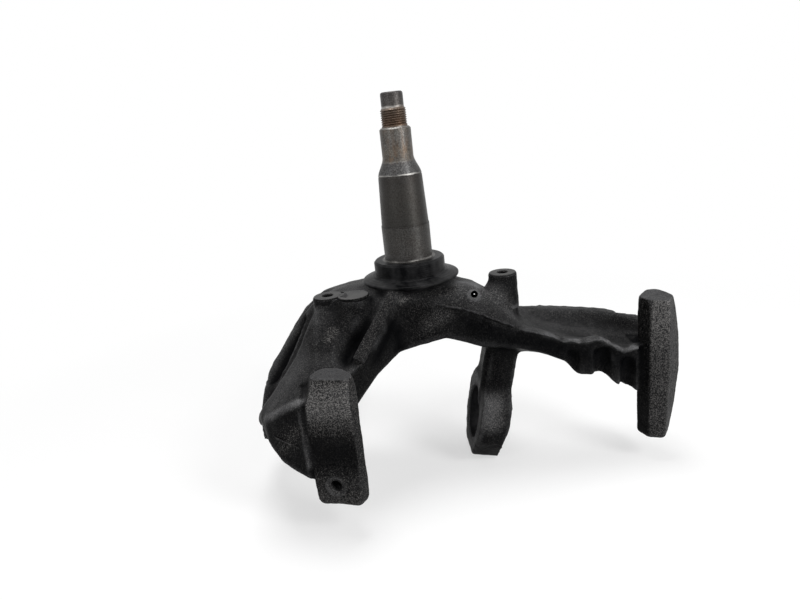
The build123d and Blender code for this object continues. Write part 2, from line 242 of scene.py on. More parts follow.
def softened(corners, reach, steps=5):
    """A profile whose corners are bridged by curves: each is a quadratic Bezier over the corner's reach.

    A second point stands a little way off each curve, so that flats shade flat.
    """
    corners = np.asarray(corners, float)
    reach = np.broadcast_to(np.asarray(reach, float), len(corners))
    t = np.linspace(0, 1, steps)[:, None]
    out = [corners[:1]]
    for before, corner, after, r in zip(corners[:-2], corners[1:-1], corners[2:], reach[1:-1]):
        back = before - corner
        on = after - corner
        lb = np.linalg.norm(back)
        lo = np.linalg.norm(on)
        cut = min(r, 0.42 * lb, 0.42 * lo)
        start = corner + back / lb * cut
        end = corner + on / lo * cut
        lead = corner + back / lb * min(1.3 * cut, 0.46 * lb)
        trail = corner + on / lo * min(1.3 * cut, 0.46 * lo)
        out += [lead[None], (1 - t) ** 2 * start + 2 * t * (1 - t) * corner + t ** 2 * end, trail[None]]
    out.append(corners[-1:])
    return np.concatenate(out)


def turned(name, profile, sides, radial=None):
    """A surface of revolution: each profile point (radius, height) sweeps a circle about Z.

    radial(height, angle) is added to the radius, for a thread or a rough skin. Both ends close on the axis.
    """
    r = profile[:, 0][:, None]
    z = np.repeat(profile[:, 1][:, None], sides, 1)
    angle = np.linspace(0, 2 * np.pi, sides, endpoint=False)[None, :]
    if radial is not None:
        r = r + radial(z, angle)
    ring = np.stack([r * np.cos(angle), r * np.sin(angle), z], 2)
    low = [0, 0, profile[0, 1]]
    high = [0, 0, profile[-1, 1]]
    points = np.concatenate([ring.reshape(-1, 3), [low, high]])
    last = (len(profile) - 1) * sides
    middle = len(profile) * sides
    c = np.arange(sides)
    n = (c + 1) % sides
    foot = np.stack([np.full(sides, middle), n, c], 1)
    top = np.stack([np.full(sides, middle + 1), last + c, last + n], 1)
    return put_mesh(name, points, [tube_faces(len(profile), sides), foot, top])


def smooth(piece, angle=None):
    """Shades a piece smooth, and keeps the edges sharper than an angle in degrees."""
    piece.data.shade_smooth()
    if angle is not None:
        piece.data.set_sharp_from_angle(angle=np.radians(angle))


# Spindle and collar

def thread_cut(z, angle):
    """A helical groove: its depth times a triangle wave of height over pitch less turns, faded at both ends."""
    phase = (z / THREAD_PITCH - angle / (2 * np.pi)) % 1.0
    wave = np.clip(np.abs(2 * phase - 1) * 1.35 - 0.1, 0, 1)
    fade = np.clip((z - JOURNAL_TOP - 0.6) / 1.2, 0, 1) * np.clip((THREAD_TOP - 0.2 - z) / 0.8, 0, 1)
    return -THREAD_DEPTH * (1 - wave) * fade


def make_spindle():
    """The bare spindle: bearing seats, a swelling throat, a threaded end and a plain pilot.

    The throat's radius goes to the outer seat's along a mix of a straight line and a smooth step.
    """
    foot_r = SEAT_R + ROOT_FILLET + 0.6
    edge_r = RELIEF_TOP_R - 0.10
    seat = softened([
        (0, -3), (foot_r, -3), (foot_r, 0.02), (SEAT_R, 0.0), (SEAT_R, SEAT_TOP), (RELIEF_R, SEAT_TOP + 0.5),
        (RELIEF_TOP_R + 0.12, RELIEF_TOP - 1.3), (edge_r, RELIEF_TOP - 1.0), (edge_r, RELIEF_TOP - 0.5),
        (RELIEF_TOP_R, RELIEF_TOP),
    ], [0, 0, 0.2, ROOT_FILLET, 0.15, 0.15, 0.1, 0.1, 0.1, 0], 7)
    u = np.linspace(0, 1, 26)[1:, None]
    ease = u * u * (3 - 2 * u)
    swell = (0.35 * u + 0.65 * ease) ** 0.92
    radius = RELIEF_TOP_R + (JOURNAL_R - RELIEF_TOP_R) * swell
    throat = np.concatenate([radius, RELIEF_TOP + (CONE_TOP - RELIEF_TOP) * u], 1)
    journal = softened([
        (JOURNAL_R, CONE_TOP), (JOURNAL_R, JOURNAL_TOP - JOURNAL_CHAMFER),
        (JOURNAL_R - JOURNAL_CHAMFER, JOURNAL_TOP), (THREAD_R, JOURNAL_TOP), (THREAD_R, JOURNAL_TOP + 0.6),
    ], 0.25)
    z = np.arange(JOURNAL_TOP + 0.7, THREAD_TOP - THREAD_CHAMFER, 0.125)[:, None]
    thread = np.concatenate([np.full_like(z, THREAD_R), z], 1)
    pilot = softened([
        (THREAD_R, THREAD_TOP - THREAD_CHAMFER), (PILOT_R, THREAD_TOP), (PILOT_R, PILOT_TOP), (0, PILOT_TOP),
    ], [0, 0.3, 2.0, 0], 9)
    profile = np.concatenate([seat, throat, journal[1:], thread, pilot])
    keep = np.concatenate([[True], np.linalg.norm(np.diff(profile, axis=0), axis=1) > 1e-5])
    piece = turned("spindle", profile[keep][1:-1], 144, thread_cut)
    smooth(piece, 40)
    return piece


def make_collar():
    """The shoulder that the inner bearing stops on and the thin flange under it, both turned and painted."""
    profile = softened([
        (0, FLANGE_FOOT - 5), (FLANGE_R - 6, FLANGE_FOOT - 5), (RIM_R, RIM_FOOT), (RIM_R, RIM_TOP),
        (SHOULDER_R + 2.2, -SHOULDER_HEIGHT - 0.6), (SHOULDER_R + 1.8, -SHOULDER_HEIGHT + 0.2),
        (SHOULDER_R, -SHOULDER_HEIGHT + 0.5), (SHOULDER_R, -SHOULDER_CHAMFER),
        (SHOULDER_R - SHOULDER_CHAMFER, 0), (SEAT_R + 0.8, 0), (SEAT_R + 0.4, -1.5), (0, -1.5),
    ], [0, 0.4, 0.6, 0.6, 0.4, 0.2, 0.4, 0.35, 0.35, 0.2, 0.2, 0])
    piece = turned("collar", profile[1:-1], 160)
    smooth(piece, 40)
    return piece


# Casting

def set_along(piece, centre, along):
    """Turns a piece's mesh so that its Z lies along a line, and moves it to a centre in mm."""
    turn = Vector(along).to_track_quat("Z", "Y").to_matrix().to_4x4()
    piece.data.transform(Matrix.Translation(Vector(centre) * MM) @ turn)
    return piece


def cylinder(name, radius, length, centre, along, sides=64, mouth=0.0, far_radius=None):
    """A closed round bar about a line, in mm, or a cone where a far radius is given.

    Where mouth is set, both ends flare by that chamfer and run on for 6 mm.
    """
    half = length / 2
    if mouth:
        flare = radius + 2 * mouth
        profile = [(flare, -half - mouth - 6), (flare, -half - mouth), (radius, -half + mouth),
                   (radius, half - mouth), (flare, half + mouth), (flare, half + mouth + 6)]
    else:
        profile = [(radius, -half), (radius if far_radius is None else far_radius, half)]
    return set_along(turned(name, np.array(profile, float), sides), centre, along)


def joined(name, pieces):
    """One object that holds the meshes of several, which are removed."""
    work = bmesh.new()
    for piece in pieces:
        work.from_mesh(piece.data)
        bpy.data.objects.remove(piece)
    mesh = bpy.data.meshes.new(name)
    work.to_mesh(mesh)
    work.free()
    whole = bpy.data.objects.new(name, mesh)
    bpy.context.scene.collection.objects.link(whole)
    return whole


def settle(piece):
    """Applies a piece's modifiers to its mesh."""
    graph = bpy.context.evaluated_depsgraph_get()
    mesh = bpy.data.meshes.new_from_object(piece.evaluated_get(graph))
    piece.modifiers.clear()
    piece.data = mesh


kingpin = Vector((np.cos(np.radians(KINGPIN_LEAN)), 0, -np.sin(np.radians(KINGPIN_LEAN))))
upper_boss = Vector(UPPER_BOSS)
lower_boss = upper_boss - kingpin * BOSS_SPAN
lead_turn = np.radians(LEAD_HOLE_TURN)
lead_dip = np.radians(LEAD_HOLE_DIP)
lead_line = (np.sin(lead_turn) * np.cos(lead_dip), np.cos(lead_turn) * np.cos(lead_dip), -np.sin(lead_dip))
pin_turn = np.radians(PIN_HOLE_TURN)
pin_line = (-np.sin(pin_turn), -np.cos(pin_turn), 0)


def hole_stops():
    """Round bars that close the holes and stand for the bosses and the pad, so that one skin runs over them."""
    pin = Vector(pin_line)
    stops = [
        cylinder("stop", KINGPIN_R + 2.2, UPPER_THICKNESS, upper_boss, kingpin),
        cylinder("stop", KINGPIN_R + 2.2, LOWER_THICKNESS, lower_boss, kingpin),
        cylinder("stop", ROD_MOUTH_R + 1.0, ROD_EYE_WIDTH, ROD_EYE, (1, 0, 0)),
        cylinder("stop", LEAD_HOLE_R + 1.0, 62, LEAD_HOLE, lead_line),
        cylinder("stop", PIN_HOLE_R + 0.5, 18, Vector(PIN_HOLE) - pin * 10.5, pin_line),
        cylinder("stop", SPOT_FACE_R + 0.45, 2.0, Vector(PIN_HOLE) - pin * 1.6, pin_line),
    ]
    stops += [cylinder("stop", r, BOSS_DEPTH, (x, y, PLATE_FACE - 11.5), UP) for x, y, r in PLATE_BOSSES]
    x, y, r = LEFT_PAD
    stops.append(cylinder("stop", r, 12, (x, y, PLATE_FACE - 7.4), UP))
    return stops


def thin_forms():
    """The long arm's lip and rim, the land, the rib, a bank round the pad's foot, and the left bar's ridges."""
    lip = [(x, -36.5, z - 1.4) for x, z in LIP]
    bank = turned("stop", np.array([(19.5, -42), (11.2, -17.6), (10.4, -16.8)]), 48)
    bank.data.transform(Matrix.Translation(Vector((LEFT_PAD[0], LEFT_PAD[1], 0)) * MM))
    return [
        strip("lip", lip, BACK, UP, 5.5, 1.7, 4),
        strip("rim", ARM_RIM, BACK, UP, 6, 2.5, 15),
        strip("land", LAND, LAND_ACROSS, LAND_STANDS, 3.6, 1.6, 16, 0.1),
        strip("rib", ARM_RIB, (0.1, 0.75, 0.6), (-0.65, -0.45, 0.6), 1.8, 2.6, 17, 0.2),
        bank,
        strip("ridge", WEDGE_RIDGE, (0.3, 0.8, 0.5), (0, -0.5, 0.8), 2.6, 2.2, 12),
        strip("ridge", BAR_FILLET, (1, 0, 0), BACK, 2.2, 2.4, 13),
    ]


def rough_casting():
    """The casting before machining: the solid's mesh up to the flange's foot, with its stops and thin forms."""
    copy = bpy.data.objects.new("casting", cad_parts["knuckle"].data.copy())
    bpy.context.scene.collection.objects.link(copy)
    work = bmesh.new()
    work.from_mesh(copy.data)
    bmesh.ops.remove_doubles(work, verts=work.verts, dist=1e-6)
    cut = bmesh.ops.bisect_plane(work, geom=work.verts[:] + work.edges[:] + work.faces[:], dist=1e-7,
                                 plane_co=(0, 0, FLANGE_FOOT * MM), plane_no=UP, clear_outer=True)
    rim = [e for e in cut["geom_cut"] if isinstance(e, bmesh.types.BMEdge)]
    bmesh.ops.holes_fill(work, edges=rim, sides=0)
    work.to_mesh(copy.data)
    work.free()
    return joined("casting", [copy, *hole_stops(), *thin_forms()])


def edge_sums(mesh):
    """For a mesh: each edge's two ends, and how many edges meet at each vertex."""
    a, b = read(mesh.edges, "vertices", 2, np.int64).T
    count = np.bincount(a, minlength=len(mesh.vertices)) + np.bincount(b, minlength=len(mesh.vertices))
    return a, b, count[:, None]


def neighbour_mean(co, a, b, count):
    """The mean of the vertices that share an edge with each vertex."""
    sums = [np.bincount(a, co[b, i], len(co)) + np.bincount(b, co[a, i], len(co)) for i in range(3)]
    return np.stack(sums, 1) / count


def vertex_normals(mesh, co):
    """Unit normals from the cross products of the quads' diagonals, summed over the faces at each vertex."""
    corner = read(mesh.loops, "vertex_index", 1, np.int64)[:, 0]
    starts = read(mesh.polygons, "loop_start", 1, np.int64)
    q = corner[starts + np.arange(4)]
    n = np.cross(co[q[:, 2]] - co[q[:, 0]], co[q[:, 3]] - co[q[:, 1]])
    total = np.stack([sum(np.bincount(q[:, k], n[:, i], len(co)) for k in range(4)) for i in range(3)], 1)
    return total / np.maximum(np.linalg.norm(total, axis=1, keepdims=True), 1e-12)


def value_noise(co, size, seed):
    """Smooth noise from -1 to 1: random values on a lattice of so many mm, blended between its points."""
    cells = 32
    lattice = np.random.default_rng(seed).random((cells, cells, cells)) * 2 - 1
    p = co / size + 400
    i = np.floor(p).astype(int)
    f = p - i
    f = f * f * (3 - 2 * f)
    weights = (1 - f, f)
    out = 0
    for dx in (0, 1):
        for dy in (0, 1):
            for dz in (0, 1):
                weight = weights[dx][:, 0] * weights[dy][:, 1] * weights[dz][:, 2]
                spot = (i + (dx, dy, dz)) % cells
                out = out + weight * lattice[spot[:, 0], spot[:, 1], spot[:, 2]]
    return out


def near_line(co, a, b, reach):
    """1 on the line from a to b, in mm, falling to 0 at a reach from it along a smooth step."""
    a = np.asarray(a, float)
    line = np.asarray(b, float) - a
    t = np.clip((co - a) @ line / (line @ line), 0, 1)
    gap = np.linalg.norm(co - a - t[:, None] * line, axis=1)
    u = np.clip(1 - gap / reach, 0, 1)
    return u * u * (3 - 2 * u)


def press(co, normal, a, b, reach, depth, way):
    """Pushes the skin near a line by a depth along a way, where the skin faces against that way."""
    way = np.asarray(way, float) / np.linalg.norm(way)
    facing = np.clip(-(normal @ way) * 1.6, 0, 1)
    return co + (near_line(co, a, b, reach) * facing * depth)[:, None] * way


def soften_skin(mesh):
    """Rounds the skin as a mould does, presses its hollows in, and leaves the lumps and the ragged lip of sand.

    Each pass moves a vertex towards its neighbours' mean: by the large share where that lies outside, so
    hollows fill, and by the small one where it lies inside, so edges round a little. Under the bars it sinks.
    """
    co = read(mesh.vertices, "co") / MM
    a, b, count = edge_sums(mesh)
    for step in range(SOFTEN_PASSES):
        pull = neighbour_mean(co, a, b, count) - co
        if step % 3 == 0:
            normal = vertex_normals(mesh, co)
        outward = (pull * normal).sum(1, keepdims=True)
        share = np.where(outward > 0, FILL_SHARE, EARLY_ROUNDING if step < EARLY_PASSES else LATE_ROUNDING)
        co = co + pull * share
    normal = vertex_normals(mesh, co)
    for start, end, reach, depth, way in PRESSES:
        co = press(co, normal, start, end, reach, depth, way)
    normal = vertex_normals(mesh, co)
    edge = [(x, -39, z) for x, z in LIP[4:]]
    ragged = sum(near_line(co, start, end, 4.5) for start, end in zip(edge[:-1], edge[1:]))
    lumps = 0.30 * value_noise(co, 17.0, 3) + 0.22 * value_noise(co, 7.0, 5) + 0.12 * value_noise(co, 3.2, 8)
    lumps += 0.9 * np.clip(ragged, 0, 1) * value_noise(co, 3.6, 12)
    lumps -= 1.3 * np.maximum(bar_zone(co, LEFT_BAR), bar_zone(co, RIGHT_BAR))
    co = co + normal * (lumps - 0.15)[:, None]
    mesh.vertices.foreach_set("co", (co * MM).ravel())
    mesh.update()


def bar_zone(co, sections):
    """1 inside the box of an anchor bar, in mm, and 0 from 2 mm outside it. The left bar's box ends in its arm."""
    corners = np.array([corner for height, row in sections for corner in row], float)
    low = np.array([*corners.min(0), sections[0][0]], float)
    high = np.array([*corners.max(0), sections[-1][0]], float)
    if sections is LEFT_BAR:
        high[1] = -74
    outside = np.maximum(np.maximum(low - co, co - high), 0).max(1)
    return np.clip(1 - outside / 2, 0, 1)


def rounded_row(corners, reach, counts):
    """A bar's outline: each corner is a quadratic Bezier over its reach, and each side has its own count."""
    corners = np.asarray(corners, float)
    out = []
    t = np.linspace(0, 1, 6)[:, None]
    for i, corner in enumerate(corners):
        onward = corners[(i + 1) % len(corners)]
        back = corners[i - 1] - corner
        on = onward - corner
        start = corner + back / np.linalg.norm(back) * reach
        end = corner + on / np.linalg.norm(on) * reach
        out.append((1 - t) ** 2 * start + 2 * t * (1 - t) * corner + t ** 2 * end)
        stop = onward - on / np.linalg.norm(on) * reach
        s = np.linspace(0, 1, counts[i] + 2)[1:-1, None]
        out.append(end + s * (stop - end))
    return np.concatenate(out)


def rounded_end(row, z, sign, radius):
    """Rings over a bar's end: its outline drawn in by radius (1 - cos a) while it rises by radius sin a.

    Then the last ring shrinks to the middle in even steps.
    """
    middle = row.mean(0)
    away = np.linalg.norm(row - middle, axis=1, keepdims=True)
    over = []
    for a in np.linspace(0, np.pi / 2, 7)[1:]:
        height = z + sign * (radius * np.sin(a) - radius)
        over.append((row - (row - middle) / away * radius * (1 - np.cos(a)), height))
    inner, height = over[-1]
    return over + [(middle + (inner - middle) * k, height) for k in np.linspace(1, 0.05, 16)[1:]]


def make_bar(name, sections, ends, seed):
    """An anchor bar: rounded outlines stacked up its height, both ends rounded over, and a skin of noise.

    Between sections the corners follow a straight line, then a running mean over 7 mm takes the kinks out.
    ends holds the radius at the foot and at the top, in mm.
    """
    heights = np.array([height for height, row in sections], float)
    corners = np.array([row for height, row in sections], float)
    z = np.arange(heights[0], heights[-1] + 0.4, 0.8)
    path = np.stack([[np.interp(z, heights, corners[:, i, j]) for j in (0, 1)] for i in range(6)], 0)
    width = 9
    half = width // 2
    padded = np.pad(path, ((0, 0), (0, 0), (half, half)), mode="reflect", reflect_type="odd")
    path = np.apply_along_axis(lambda v: np.convolve(v, np.full(width, 1 / width), "valid"), 2, padded)
    sides = np.linalg.norm(np.roll(corners, -1, 1) - corners, axis=2).mean(0)
    counts = np.maximum((sides / 0.85).astype(int), 3)
    reach = 1.3 + 2.6 * np.exp(-(z[-1] - z) / 5) + 1.6 * np.exp(-(z - z[0]) / 4)
    rows = [rounded_row(path[:, :, k], reach[k], counts) for k in range(len(z))]
    low = heights[0] + ends[0]
    high = heights[-1] - ends[1]
    body = [(row, height) for row, height in zip(rows, z) if low <= height <= high]
    foot = rounded_end(rows[0], z[0], -1, ends[0])
    top = rounded_end(rows[-1], z[-1], 1, ends[1])
    stack = foot[::-1] + body + top
    points = np.concatenate([np.c_[row, np.full(len(row), height)] for row, height in stack])
    piece = tube(name, points, len(rows[0]))
    rough = 0.22 * value_noise(points, 14.0, seed) + 0.10 * value_noise(points, 4.5, seed + 1)
    rough += 0.10 * value_noise(points, 2.0, seed + 2) + 0.07 * value_noise(points, 1.3, seed + 3)
    points = points + read(piece.data.vertex_normals, "vector") * rough[:, None]
    piece.data.vertices.foreach_set("co", (points * MM).ravel())
    piece.data.update()
    return piece


def strip(name, spine, across, up, half_width, half_height, seed, ragged=1.0, taper=1.0, square=1.0):
    """A cast fin along a spine in mm, closed at both ends.

    The section is across |cos a|^square, up |sin a|^square with their signs: an oval at 1, nearly a box at 0.3.
    Its width grows from taper to 1 along the spine, its size wanders when it is ragged, and its ends thin out.
    """
    spine = np.asarray(spine, float)
    run = np.concatenate([[0], np.cumsum(np.linalg.norm(np.diff(spine, axis=0), axis=1))])
    s = np.arange(0, run[-1], 0.7)
    line = np.stack([np.interp(s, run, spine[:, i]) for i in range(3)], 1)
    rng = np.random.default_rng(seed)
    wander = []
    for pace in (2.1, 5.0, 3.1):
        knots = np.arange(0, run[-1] + 6, pace)
        wander.append(np.interp(s, knots, rng.random(len(knots)) * 2 - 1))
    ends = np.clip(np.minimum(s, s[-1] - s) / 4, 0.15, 1)
    waver = 1 + ragged * (0.30 * wander[0] + 0.18 * wander[1])
    wide = half_width * np.linspace(taper, 1, len(s)) * ends * waver
    tall = half_height * ends * (1 + ragged * 0.25 * wander[2])
    angle = np.linspace(0, 2 * np.pi, 28 if square < 1 else 14, endpoint=False)
    side, rise = (np.sign(f) * np.abs(f) ** square for f in (np.cos(angle), np.sin(angle)))
    points = line[:, None] + (side[None, :, None] * wide[:, None, None] * np.asarray(across, float)
                              + rise[None, :, None] * tall[:, None, None] * np.asarray(up, float))
    return tube(name, points.reshape(-1, 3), len(angle))


def cut_away(piece, tools):
    """Machines a piece: takes the tools' volume out of it, then removes the tools."""
    tool = joined("tool", tools)
    cut = piece.modifiers.new("cut", "BOOLEAN")
    cut.operation = "DIFFERENCE"
    cut.solver = "EXACT"
    cut.object = tool
    settle(piece)
    bpy.data.objects.remove(tool)


def make_casting():
    """The casting's skin: remeshed from the solid, rounded as a mould leaves it, then machined."""
    piece = rough_casting()
    remesh = piece.modifiers.new("skin", "REMESH")
    remesh.mode = "VOXEL"
    remesh.voxel_size = VOXEL * MM
    remesh.adaptivity = 0.0
    settle(piece)
    soften_skin(piece.data)
    tools = [
        cylinder("tool", KINGPIN_R, UPPER_THICKNESS, upper_boss, kingpin, 96, BORE_CHAMFER),
        cylinder("tool", KINGPIN_R, LOWER_THICKNESS, lower_boss, kingpin, 96, BORE_CHAMFER),
        cylinder("tool", ROD_SMALL_R, ROD_EYE_WIDTH + 2, ROD_EYE, (1, 0, 0), 64, 0, ROD_MOUTH_R),
        lead_tool(),
        pin_tool(),
    ]
    for x, y, r in PLATE_BOSSES:
        middle = (x, y, PLATE_FACE - TAPPED_DEPTH / 2)
        tools.append(cylinder("tool", TAPPED_R + 1.4, TAPPED_DEPTH + 4, middle, UP, 40))
    cut_away(piece, tools)
    facing = PLATE_FACE - 1.1
    cut_away(piece, [cylinder("tool", r + 1.5, 10, (x, y, facing + 5), UP) for x, y, r in PLATE_BOSSES])
    smooth(piece, 35)
    return piece


def make_boss(name, x, y, radius, depth, tapped, lean, spread):
    """A cast boss on the backing-plate plane with drafted rough sides: faced and tapped, or else a plain pad.

    Its foot spreads by so many mm towards the angle lean, as the mould's fillet does.
    """
    top = PLATE_FACE
    if tapped:
        corners = [
            (radius + 0.4, top - depth), (radius + 0.1, top - 0.45 * depth), (radius, top - 1.5),
            (radius - 0.7, top), (TAPPED_R + 0.7, top), (TAPPED_R, top - 0.8), (TAPPED_R, top - TAPPED_DEPTH),
        ]
    else:
        corners = [
            (radius - 1.5, top - depth), (radius, top - 3), (radius + 0.3, top - 0.9),
            (radius - 0.2, top), (1.0, top),
        ]
    profile = softened(corners, 0.5, 4)
    fine = [profile[0]]
    for a, b in zip(profile[:-1], profile[1:]):
        steps = max(int(np.linalg.norm(b - a) / 0.8), 1)
        fine += [a + (b - a) * k / steps for k in range(1, steps + 1)]
    fine = np.array(fine)
    outer = np.arange(len(fine))[:, None] < np.argmax(fine[:, 1] > top - 0.9)

    def rough(z, angle):
        round_x = np.cos(angle) * radius + x
        round_y = np.sin(angle) * radius + y
        where = np.stack(np.broadcast_arrays(round_x, round_y, z), 2).reshape(-1, 3)
        noise = 0.20 * value_noise(where, 5.0, 41) + 0.08 * value_noise(where, 1.8, 42)
        side = np.clip(np.cos(angle - np.radians(lean)), 0, 1) ** 1.5
        foot = np.clip((top - 3 - z) / 11, 0, 1.4) ** 2 * spread * side
        return (noise.reshape(z.shape) + foot) * outer * np.clip((top - 0.8 - z) / 2, 0, 1)

    piece = turned(name, fine, 96, rough)
    piece.data.transform(Matrix.Translation(Vector((x, y, 0)) * MM))
    smooth(piece, 40)
    return piece


def make_bosses():
    """The three tapped bosses for the backing plate, and the plain pad beside the left one."""
    feet = ((-90, 1.5), (190, 8.0), (-90, 1.0))
    made = []
    for i, (boss, foot) in enumerate(zip(PLATE_BOSSES, feet)):
        made.append(make_boss("plate_boss_%d" % i, *boss, BOSS_DEPTH, True, *foot))
    made.append(make_boss("plate_pad", *LEFT_PAD, PAD_DEPTH, False, -70, 0.0))
    return made


def lead_tool():
    """The drill for the sensor lead's hole: full size from the front, then a small pilot."""
    profile = np.array([(LEAD_PILOT_R, -70), (LEAD_PILOT_R, 2), (LEAD_HOLE_R, 3.2), (LEAD_HOLE_R, 60)], float)
    return set_along(turned("tool", profile, 32), LEAD_HOLE, -Vector(lead_line))


def pin_tool():
    """The drill for the pin hole, with a spot face at its mouth."""
    profile = softened([
        (0, -50), (PIN_HOLE_R, -50), (PIN_HOLE_R, -1.1), (SPOT_FACE_R, -0.4), (SPOT_FACE_R, 8), (0, 8),
    ], 0.15, 3)
    return set_along(turned("tool", profile[1:-1], 64), PIN_HOLE, pin_line)


def make_bars():
    """Both anchor bars, the left one drilled for its pin, the land's crisp top and the mould's two fins."""
    left = make_bar("left_bar", LEFT_BAR, (4.0, 0.9), 21)
    cut_away(left, [pin_tool()])
    right = make_bar("right_bar", RIGHT_BAR, (3.0, 1.1), 31)
    for bar in (left, right):
        smooth(bar, 50)
    fins = [
        strip("land_rib", LAND, LAND_ACROSS, LAND_STANDS, 4.4, 1.7, 18, 0.10, 0.66, 0.4),
        strip("web_fin", WEB_FIN, BACK, UP, 1.2, 0.8, 6),
        strip("wedge_fin", WEDGE_FIN, BACK, UP, 1.3, 0.5, 9),
    ]
    for fin in fins:
        smooth(fin)
    return left, right, *fins


# Finishes

def node(tree, kind, **values):
    """A new node with its settings, and its inputs by name or number."""
    made = tree.nodes.new(kind)
    for key, value in values.items():
        if key == "inputs":
            for name, v in value.items():
                if isinstance(v, bpy.types.NodeSocket):
                    tree.links.new(v, made.inputs[name])
                else:
                    made.inputs[name].default_value = v
        else:
            setattr(made, key, value)
    return made


def maths(tree, how, a, b=0.0, clamp=False):
    """The result of a Math node on values or sockets."""
    return node(tree, "ShaderNodeMath", operation=how, use_clamp=clamp, inputs={0: a, 1: b}).outputs[0]


def blended(tree, a, share_a, b, share_b):
    """Two values added, each times its share."""
    return maths(tree, "ADD", maths(tree, "MULTIPLY", a, share_a), maths(tree, "MULTIPLY", b, share_b))


def noise(tree, where, scale, detail, roughness=0.5):
    """Noise from 0 to 1 over a position, with so many cells to its unit and finer layers laid over it."""
    inputs = {"Vector": where, "Scale": scale, "Detail": detail, "Roughness": roughness}
    return node(tree, "ShaderNodeTexNoise", inputs=inputs).outputs[0]


def stretched(tree, where, scale):
    """A position with each of its axes times its own scale."""
    return node(tree, "ShaderNodeVectorMath", operation="MULTIPLY", inputs={0: where, 1: scale}).outputs[0]


def dress(tree, shader, colour, roughness, height, strength, depth):
    """Gives a shader its colour, its roughness and bumps of a height, with a strength and a depth in metres."""
    bump = node(tree, "ShaderNodeBump", inputs={"Strength": strength, "Distance": depth, "Height": height})
    tree.links.new(colour, shader.inputs["Base Color"])
    tree.links.new(roughness, shader.inputs["Roughness"])
    tree.links.new(bump.outputs[0], shader.inputs["Normal"])


def ramp(tree, fac, stops):
    """A colour ramp's colour over stops of (position, grey or colour)."""
    made = node(tree, "ShaderNodeValToRGB", inputs={0: fac})
    band = made.color_ramp
    while len(band.elements) < len(stops):
        band.elements.new(0.5)
    for spot, (position, colour) in zip(band.elements, stops):
        spot.position = position
        spot.color = (*((colour,) * 3 if isinstance(colour, (int, float)) else colour), 1)
    return made.outputs[0]


def mixed(tree, fac, a, b):
    """Two colours mixed by a factor."""
    return node(tree, "ShaderNodeMix", data_type="RGBA", inputs={0: fac, 6: a, 7: b}).outputs[2]


def new_group(name, inputs, outputs):
    """A shader node group with named inputs (name, kind, value) and outputs (name, kind)."""
    tree = bpy.data.node_groups.new(name, "ShaderNodeTree")
    for label, kind, value in inputs:
        socket = tree.interface.new_socket(label, in_out="INPUT", socket_type="NodeSocket" + kind)
        socket.default_value = value
    for label, kind in outputs:
        tree.interface.new_socket(label, in_out="OUTPUT", socket_type="NodeSocket" + kind)
    return tree, tree.nodes.new("NodeGroupInput"), tree.nodes.new("NodeGroupOutput")


def sand_skin_group():
    """The skin that a sand mould leaves, from a fine, a coarse and a broad noise.

    It gives their height, the speckle of the grains of about a millimetre, the spark of the highest of them,
    and a broad mottle.
    """
    tree, given, out = new_group(
        "sand_skin",
        [("Grain Size", "Float", 1.0)],
        [("Height", "Float"), ("Speckle", "Float"), ("Spark", "Float"), ("Mottle", "Float")])
    where = node(tree, "ShaderNodeTexCoord").outputs["Object"]
    scale = maths(tree, "DIVIDE", 1650.0, given.outputs["Grain Size"])
    fine = noise(tree, where, scale, 2.0, 0.6)
    coarse = noise(tree, where, maths(tree, "MULTIPLY", scale, 0.42), 2.0, 0.55)
    broad = noise(tree, where, 75.0, 5.0, 0.62)
    grains = blended(tree, fine, 0.80, coarse, 0.20)
    height = maths(tree, "ADD", blended(tree, fine, 0.6, coarse, 0.9), maths(tree, "MULTIPLY", broad, 0.8))
    given_out = {
        "Height": height,
        "Speckle": ramp(tree, grains, [(0.46, 0.0), (0.58, 1.0)]),
        "Spark": ramp(tree, grains, [(0.56, 0.0), (0.64, 1.0)]),
        "Mottle": broad,
    }
    for label, value in given_out.items():
        tree.links.new(value, out.inputs[label])
    return tree


def material(name, metallic, roughness, specular):
    """An empty material with its Principled shader, and its tree."""
    made = bpy.data.materials.new(name)
    made.use_nodes = True
    shader = made.node_tree.nodes["Principled BSDF"]
    shader.inputs["Metallic"].default_value = metallic
    shader.inputs["Roughness"].default_value = roughness
    shader.inputs["Specular IOR Level"].default_value = specular
    return made, made.node_tree, shader


def cast_paint(name, skin, grain_size):
    """Black paint over the sand-cast skin, with a grey film and bright bare grains where their masks are high: the
    film is dust and painted light and shade, the bright grains are wear and painted glints.
    """
    made, tree, shader = material(name, 0.0, 0.5, 0.015)
    grit = node(tree, "ShaderNodeGroup", node_tree=skin, inputs={"Grain Size": grain_size}).outputs
    dust = node(tree, "ShaderNodeAttribute", attribute_name="dust").outputs["Fac"]
    grain = node(tree, "ShaderNodeAttribute", attribute_name="grain").outputs["Fac"]
    patchy = maths(tree, "ADD", 0.30, grit["Mottle"])
    patchy = maths(tree, "ADD", patchy, maths(tree, "MULTIPLY", grit["Speckle"], 0.45))
    # The grey film: dust, and painted light and shade.
    film = maths(tree, "MULTIPLY", dust, patchy, clamp=True)
    base = ramp(tree, grit["Mottle"], [(0.35, (0.0006, 0.0007, 0.0010)), (0.65, (0.0026, 0.0027, 0.0031))])
    lit_and_dusty = mixed(tree, film, base, (0.107, 0.107, 0.110, 1))
    # Bright grains: bare worn metal, and painted glints on the highest grains.
    bare_and_glinting = maths(tree, "MULTIPLY", grit["Speckle"], maths(tree, "MULTIPLY", grain, 0.52))
    bright = maths(tree, "MINIMUM", maths(tree, "MULTIPLY", grain, 1.6), 0.34)
    bare_and_glinting = maths(tree, "MAXIMUM", bare_and_glinting, maths(tree, "MULTIPLY", grit["Spark"], bright))
    colour = mixed(tree, bare_and_glinting, lit_and_dusty, (0.32, 0.308, 0.297, 1))
    roughness = maths(tree, "ADD", 0.36, maths(tree, "MULTIPLY", film, 0.4))
    dress(tree, shader, colour, roughness, grit["Height"], 0.8, 0.0004)
    return made


